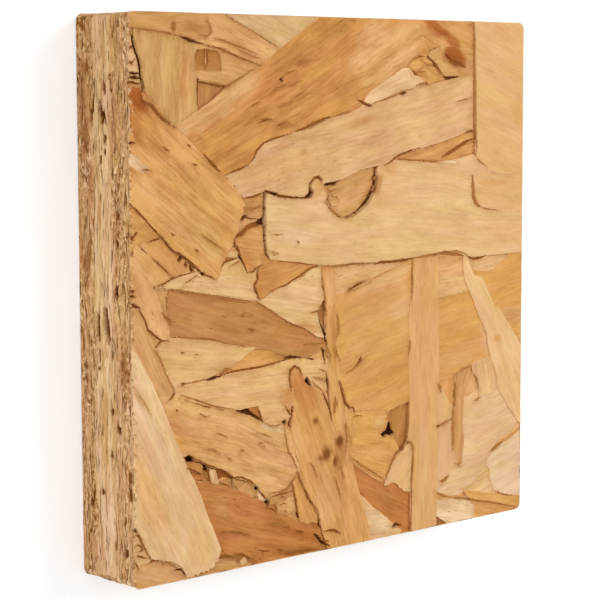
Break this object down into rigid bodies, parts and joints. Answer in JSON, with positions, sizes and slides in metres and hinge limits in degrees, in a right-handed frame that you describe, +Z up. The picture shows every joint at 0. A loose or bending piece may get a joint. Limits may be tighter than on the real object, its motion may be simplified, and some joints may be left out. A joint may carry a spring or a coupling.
{
  "type": "oriented strand board panel",
  "caption": "Square sawn panel of oriented strand board: pressed and glued wood strands in crossed layers, lying flat. Sheathing, decking or sample stock.",
  "frame": {"origin": "centre of the underside, on the surface that the panel lies on", "axes": "+Z up out of the better face, through the thickness; X and Y along the sawn edges"},
  "size_m": [0.1, 0.1, 0.015],
  "materials": {
    "osb": "pressed wood strands, unsanded, with a faint resin sheen on the faces and open sawn edges"
  },
  "bodies": {
    "root": {"osb_panel": "osb"}
  },
  "joints": []
}
